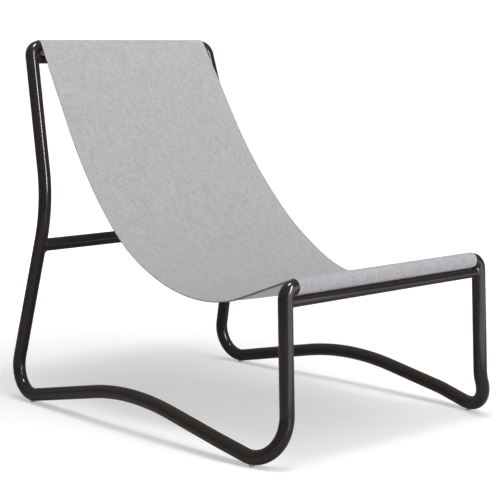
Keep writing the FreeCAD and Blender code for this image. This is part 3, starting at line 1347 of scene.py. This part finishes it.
@dataclass
class Sling:
    """The woven panel with its end pockets, the two edge tapes and their stitching."""

    front: RailWrap
    top: RailWrap
    half_width: Profile = Profile((0.2314, 0.2401, 0.2465, 0.2300, 0.2475))
    centre_sag: Profile = Profile((0.0, 0.0015, 0.0035, 0.0065, 0.0))
    sag_seat: Corner = Corner(Vector((0.0, -0.1215, 0.2486)), 0.320)
    sag_middle: Corner = Corner(Vector((0.0, 0.0830, 0.3476)), 0.500)
    sag_back: Corner = Corner(Vector((0.0, 0.2338, 0.5040)), 0.950)
    columns: int = 56
    row: float = 0.009
    fold_turn: float = math.radians(13.0)
    tape_width: float = 0.015
    tape: float = 0.0010
    tape_columns: int = 4
    tape_ease: float = 0.0001
    tape_inset: float = 0.0002
    tape_gap: float = 0.006
    seam_inset: float = 0.0118
    stitch_pitch: float = 0.0034
    stitch_length: float = 0.0027
    stitch_steps: int = 4
    stitch_dip: float = 1.6
    thread: float = 0.00028
    thread_rise: float = 0.2
    thread_sides: int = 5

    def seat_line(self, lift: float) -> BentLine:
        """The sag between the rails.

        Args:
            lift: height above the fabric's under face.

        Returns:
            The line, from the front rail to the top rail.
        """
        shift = lift - FABRIC / 2
        ends = [wrap.over + wrap.lift * shift for wrap in (self.front, self.top)]
        sag = [self.sag_seat, self.sag_middle, self.sag_back]
        raw = [self.front.under, *(corner.place for corner in sag), self.top.under]
        corners = [Corner(ends[0], 0.0)]
        for corner, before, after in zip(sag, raw, raw[2:]):
            into = (corner.place - before).normalized()
            out = (after - corner.place).normalized()
            normal = X_AXIS.cross(into + out).normalized()
            reach = lift / math.cos(into.angle(out) / 2)
            corners.append(Corner(corner.place + normal * reach, corner.bend - lift))
        return BentLine.rounded([*corners, Corner(ends[1], 0.0)])

    def share(self, along_seat: float, length: float) -> float:
        """Place between the top rail, 0, and the front rail, 1."""
        return 1.0 - min(max(along_seat / length, 0.0), 1.0)

    def drop(self, share: float, across: float) -> float:
        """How far the cloth hangs below its edges, at a place from -1 to 1 over its width."""
        return self.centre_sag.at(share) * (1.0 - across * across)

    def cloth(
        self,
        line: BentLine,
        ends: tuple[float, float],
        columns: int,
        lead: float,
        length: float,
        edge: Callable[[float, float], float],
    ) -> BMesh:
        """Sweeps cloth along a line, with its true width, its sag and its UV in metres.

        Args:
            line: the line.
            ends: the numbers of the first and last column.
            columns: how many faces wide it is.
            lead: length of the cloth before the seat.
            length: length of the seat.
            edge: gives X from a column's number and the half width.

        Returns:
            The mesh.
        """
        mesh = bmesh.new()
        verts = [mesh.verts.new(line.start + X_AXIS * x) for x in ends]
        across = mesh.edges.new(verts)
        bmesh.ops.subdivide_edges(mesh, edges=[across], cuts=columns - 1)
        sweep = Sweep(mesh, mesh.edges[:], self.row, self.row, self.fold_turn)
        sweep.follow(line)
        uv = mesh.loops.layers.uv.new("UVMap")
        for vert in mesh.verts:
            share = self.share(vert[sweep.along] - lead, length)
            width = self.half_width.at(share)
            vert.co.x = edge(vert.co.x, width)
            tilt = vert[sweep.tilt]
            normal = Vector((0.0, -math.sin(tilt), math.cos(tilt)))
            vert.co -= normal * self.drop(share, vert.co.x / width)
        for face in mesh.faces:
            for loop in face.loops:
                loop[uv].uv = (loop.vert.co.x, loop.vert[sweep.along])
        return mesh

    def build_panel(self) -> bpy.types.Object:
        """Makes the panel, from the front rod over the seat and back to the top rod.

        Returns:
            The piece.
        """
        lead = self.front.line().reversed()
        seat = self.seat_line(FABRIC / 2)
        line = lead.then(seat).then(self.top.line())

        def edge(x: float, width: float) -> float:
            """X of a column numbered from -1 to 1."""
            return x * width

        mesh = self.cloth(line, (-1.0, 1.0), self.columns, lead.length, seat.length, edge)
        panel = settle("sling", mesh, WovenTextile(), Slot.SLING, ["sling_panel"], outward=False)
        add_wall(panel, FABRIC, 0.0)
        add_soft_edge(panel, FABRIC / 4)
        self.flat = (2 * max(self.half_width.values), line.length)
        self.area = line.length * 2 * sum(self.half_width.values) / len(self.half_width.values)
        return panel

    def build_tape(self, side: Side) -> None:
        """Makes the tape under one long edge.

        Args:
            side: which edge.
        """
        full = self.seat_line(-self.tape_ease - self.tape / 2)
        line = full.trimmed(self.tape_gap)

        def edge(x: float, width: float) -> float:
            """X of a column numbered from 0 at the edge to 1."""
            return side.value * (width - self.tape_inset - x * self.tape_width)

        mesh = self.cloth(line, (0.0, 1.0), self.tape_columns, -self.tape_gap, full.length, edge)
        name = side.label + "_edge_band"
        piece = settle(name, mesh, TwillTape(), Slot.TAPE, [side.label + "_edge_tape"])
        add_wall(piece, self.tape, 0.0)
        add_soft_edge(piece, self.tape / 4)
        flat = (self.tape_width, line.length)

    def build_stitching(self) -> bpy.types.Object:
        """Makes both rows of stitches through panel and tape, above and below.

        Returns:
            The piece.
        """
        mesh = bmesh.new()
        pattern = self.stitch_pattern(mesh)
        proud = self.thread * self.thread_rise
        below = -self.tape_ease - self.tape - proud
        for level, up in ((FABRIC + proud, 1.0), (below, -1.0)):
            line = self.seat_line(level)
            for station in line.stations(self.stitch_pitch, self.tape_gap + self.stitch_pitch):
                share = self.share(station.along, line.length)
                width = self.half_width.at(share)
                normal = X_AXIS.cross(station.heading)
                for side in Side:
                    x = side.value * (width - self.seam_inset)
                    place = station.place + X_AXIS * x - normal * self.drop(share, x / width)
                    stitch(mesh, pattern, place, station.heading, normal * up)
        bmesh.ops.delete(mesh, geom=only(BMVert, pattern), context="VERTS")
        return settle("edge_stitching", mesh, Thread(), Slot.TAPE)

    def stitch_pattern(self, mesh: BMesh) -> list[Any]:
        """A stitch along Z, a short thread whose two ends dip towards -Y.

        Args:
            mesh: the empty mesh that it is made in.

        Returns:
            Its geometry.
        """
        bmesh.ops.create_circle(
            mesh,
            cap_ends=True,
            segments=self.thread_sides,
            radius=self.thread,
            matrix=Matrix.Translation(Z_AXIS * (-self.stitch_length / 2)),
        )
        edges = mesh.edges[:]
        for _ in range(self.stitch_steps):
            verts, edges = extruded(mesh, edges)
            step = Z_AXIS * (self.stitch_length / self.stitch_steps)
            bmesh.ops.translate(mesh, verts=verts, vec=step)
        bmesh.ops.contextual_create(mesh, geom=edges)
        for vert in mesh.verts:
            reach = 2 * vert.co.z / self.stitch_length
            vert.co.y -= self.thread * self.stitch_dip * reach**4
        return mesh.verts[:] + mesh.edges[:] + mesh.faces[:]

    def build(self) -> None:
        """Makes the sling and everything sewn to it."""
        panel = self.build_panel()
        for side in Side:
            self.build_tape(side)
        stitching = self.build_stitching()


def stitch(mesh: BMesh, pattern: list[Any], place: Vector, heading: Vector, normal: Vector) -> None:
    """Sets one stitch.

    Args:
        mesh: the mesh that it is added to.
        pattern: the geometry of the pattern stitch.
        place: its middle.
        heading: its direction.
        normal: the way it stands proud.
    """
    turn = Matrix((normal.cross(heading), normal, heading)).transposed().to_4x4()
    verts = only(BMVert, bmesh.ops.duplicate(mesh, geom=pattern)["geom"])
    bmesh.ops.transform(mesh, matrix=Matrix.Translation(place) @ turn, verts=verts)


# Frame parts that keep their CAD shape

KEPT_NODES: dict[Finish, tuple[str, ...]] = {
    DrawnSteel(): ("front_rail_spigot", "top_rail_spigot"),
    PowderCoat(): ("rail_seam_welds",),
    CloudyNylon(): tuple(f"{end}_{side.label}_glide" for end in ("front", "rear") for side in Side),
    GlassFibre(): ("front_hem_rod", "top_hem_rod"),
}


def dress_kept_nodes() -> None:
    """Lays finishes on the CAD nodes that stay as they are."""
    for finish, names in KEPT_NODES.items():
        for name in names:
            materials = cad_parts[name].data.materials
            materials.clear()
            materials.append(material_of(finish))
            log.info("%s: keeps its shape", name)


# Studio


@dataclass(frozen=True)
class StudioFloor:
    """Matt white light table, whose glow grows outwards until it meets the surround."""

    colour: float = 0.60
    unevenness: float = 1.02
    tone: Grain = Grain(0.6)
    glow: float = 0.43
    far_glow: float = 0.62
    near: float = 0.70
    reach: float = 2.0
    mirrored_share: float = 0.55
    roughness: float = 0.9
    specular: float = 0.1

    def fill(self, graph: Graph) -> None:
        """Builds the finish's nodes.

        Args:
            graph: the material's graph.
        """
        spot, x, y, _ = graph.place("Object")
        away = (x * x + y * y) ** 0.5
        outer = ((away - self.near) / self.reach).limited()
        mirrored = graph.node("ShaderNodeLightPath")["Is Glossy Ray"]
        glow = (self.glow + outer * self.far_glow) * (1.0 - mirrored)
        lighter = grey(self.colour * self.unevenness)
        tint = graph.mix(grey(self.colour), lighter, graph.noise(spot, self.tone))
        dimmed = grey(self.colour * self.mirrored_share)
        graph.surface(
            Base_Color=graph.mix(tint, dimmed, mirrored),
            Roughness=self.roughness,
            Specular_IOR_Level=self.specular,
            Emission_Color=graph.vector(glow, glow, glow),
            Emission_Strength=1.0,
        )


class Reach(Enum):
    """Whether a light reaches matt surfaces, and whether it shows in shiny ones."""

    BOTH = (True, True)
    MATT = (True, False)
    SHINY = (False, True)


@dataclass(frozen=True)
class Softbox:
    """A rectangular studio light aimed at a point."""

    name: str
    place: Triple
    target: Triple
    size: tuple[float, float]
    power: float
    reach: Reach
    colour: Triple = WHITE

    def build(self) -> None:
        """Hangs the light."""
        data = bpy.data.lights.new(self.name, "AREA")
        data.color = self.colour
        data.shape = "RECTANGLE"
        data.size, data.size_y = self.size
        data.energy = self.power
        aim = Vector(self.target) - Vector(self.place)
        lamp = put(self.name, data)
        lamp.location = self.place
        lamp.rotation_euler = aim.to_track_quat("-Z", "Y").to_euler()
        lamp.visible_camera = False
        lamp.visible_diffuse, lamp.visible_glossy = self.reach.value


@dataclass
class Studio:
    """Floor, surround, lights and camera."""

    floor_size: float = 60.0
    floor_squares: int = 8
    surround: float = 1.05
    fill_top: float = 0.30
    fill_side: float = 0.14
    fill_rise: float = 1.3
    lights: tuple[Softbox, ...] = (
        Softbox("overhead", (-0.2, -0.5, 3.6), (0.0, 0.0, 0.0), (0.8, 0.8), 42.0, Reach.MATT),
        Softbox("canopy", (0.1, -0.9, 3.2), (0.0, 0.0, 0.0), (3.0, 3.0), 52.0, Reach.MATT),
        Softbox("key", (0.23, -2.9, 2.1), (0.0, 0.2, 0.4), (0.9, 1.6), 18.0, Reach.MATT),
        Softbox("panel", (0.7, -3.2, 0.75), (0.0, 0.0, 0.35), (3.2, 1.3), 28.0, Reach.BOTH, COOL),
        Softbox("top_card", (-0.2, -0.4, 3.6), (0.0, 0.0, 0.0), (0.9, 0.9), 60.0, Reach.SHINY),
        Softbox("tall_card", (0.23, -2.85, 1.85), (0.0, 0.2, 0.5), (0.4, 2.2), 100.0, Reach.SHINY, COOL),
        Softbox("low_card", (0.9, -2.6, 0.002), (0.9, -2.6, 1.0), (3.0, 3.2), 45.0, Reach.SHINY, COOL),
    )
    eye: Vector = Vector((-2.01666, -2.29143, 0.72716))
    azimuth: float = math.radians(-41.63)
    elevation: float = math.radians(7.24)
    roll: float = math.radians(-0.87)
    sensor: float = 36.0
    lens: float = 103.86

    def build_floor(self) -> None:
        """The floor, a single plate far wider than the view."""
        mesh = bmesh.new()
        squares = self.floor_squares
        size = self.floor_size / 2
        bmesh.ops.create_grid(mesh, x_segments=squares, y_segments=squares, size=size)
        solid("studio_floor", mesh, StudioFloor())

    def build_surround(self) -> None:
        """White behind the chair, and a fill that is brighter above than at the sides."""
        world = bpy.data.worlds.new("surround")
        bpy.context.scene.world = world
        world.use_nodes = True
        graph = Graph(world.node_tree)
        up = graph.place("Generated")[3]
        share = (up * self.fill_rise).limited()
        level = self.fill_side + share * (self.fill_top - self.fill_side)
        seen = graph.node("ShaderNodeLightPath")["Is Camera Ray"]
        strength = level * (1.0 - seen) + seen * self.surround
        inputs = {"Color": grey(1.0), "Strength": strength}
        light = graph.node("ShaderNodeBackground", inputs=inputs)["Background"]
        graph.node("ShaderNodeOutputWorld", inputs={"Surface": light})

    def build_camera(self) -> None:
        """The camera, level but for a slight roll."""
        flat = math.cos(self.elevation)
        aside, ahead = math.sin(self.azimuth) * flat, -math.cos(self.azimuth) * flat
        back = Vector((aside, ahead, math.sin(self.elevation)))
        level = (-back).cross(Z_AXIS).normalized()
        upright = level.cross(-back)
        right = math.cos(self.roll) * level + math.sin(self.roll) * upright
        up = -math.sin(self.roll) * level + math.cos(self.roll) * upright
        data = bpy.data.cameras.new("camera")
        data.sensor_width = self.sensor
        data.lens = self.lens
        camera = put("camera", data)
        turn = Matrix((right, up, back)).transposed().to_4x4()
        camera.matrix_world = Matrix.Translation(self.eye) @ turn
        bpy.context.scene.camera = camera

    def build(self) -> None:
        """Sets up everything round the chair."""
        self.build_floor()
        self.build_surround()
        self.build_camera()
        for light in self.lights:
            light.build()
        bpy.context.scene.view_settings.view_transform = "Standard"


# The chair


@dataclass
class Chair:
    """All the sub-assemblies in order."""

    loop: SideLoop = SideLoop()
    rear_height: float = 0.347
    rear_bead: float = 0.0044
    drop: float = 0.027
    front_slope: float = 18.3
    top_slope: float = 60.0
    behind: float = 0.2
    search_step: float = 0.0005

    def below(self, corner: Corner, neighbour: Corner) -> Vector:
        """A slim cross tube's middle, a set drop from a rail towards the next corner."""
        place = corner.place + (neighbour.place - corner.place).normalized() * self.drop
        return Vector((0.0, place.y, place.z))

    def height_error(self, station: Station) -> float:
        """How far a station is from the rear cross tube's height."""
        return abs(station.place.z - self.rear_height)

    def rear_middle(self, line: BentLine) -> Vector:
        """The rear cross tube's middle, between the uprights."""
        behind = (s for s in line.stations(self.search_step) if s.place.y > self.behind)
        return Vector((0.0, min(behind, key=self.height_error).place.y, self.rear_height))

    def build(self) -> None:
        """Builds and dresses every piece."""
        loop = self.loop
        line = loop.centreline()
        skin = loop.skin()
        tree = BVHTree.FromBMesh(skin)
        skin.free()
        for side in Side:
            loop.build(side)
        rear = self.rear_middle(line)
        front = self.below(loop.front_corner, loop.leg_kick)
        top = self.below(loop.top_corner, loop.upright_knee)
        CrossTube("rear_cross_tube", "rear_brace", rear, FRAME_TUBE, self.rear_bead).build(line, tree)
        CrossTube("front_cross_tube", "front_brace", front, SLIM_TUBE).build(line, tree)
        CrossTube("top_cross_tube", "top_brace", top, SLIM_TUBE).build(line, tree)
        front_rail = Vector((0.0, *loop.front_corner.place.yz))
        top_rail = Vector((0.0, *loop.top_corner.place.yz))
        front_wrap = RailWrap(front_rail, front, 1, self.front_slope)
        top_wrap = RailWrap(top_rail, top, -1, self.top_slope)
        Sling(front_wrap, top_wrap).build()
        dress_kept_nodes()


def main() -> None:
    """Builds the chair and the studio round it."""
    logging.basicConfig(level=logging.INFO, format="%(name)s %(message)s")
    Chair().build()
    Studio().build()


if __name__ == "__main__":
    main()
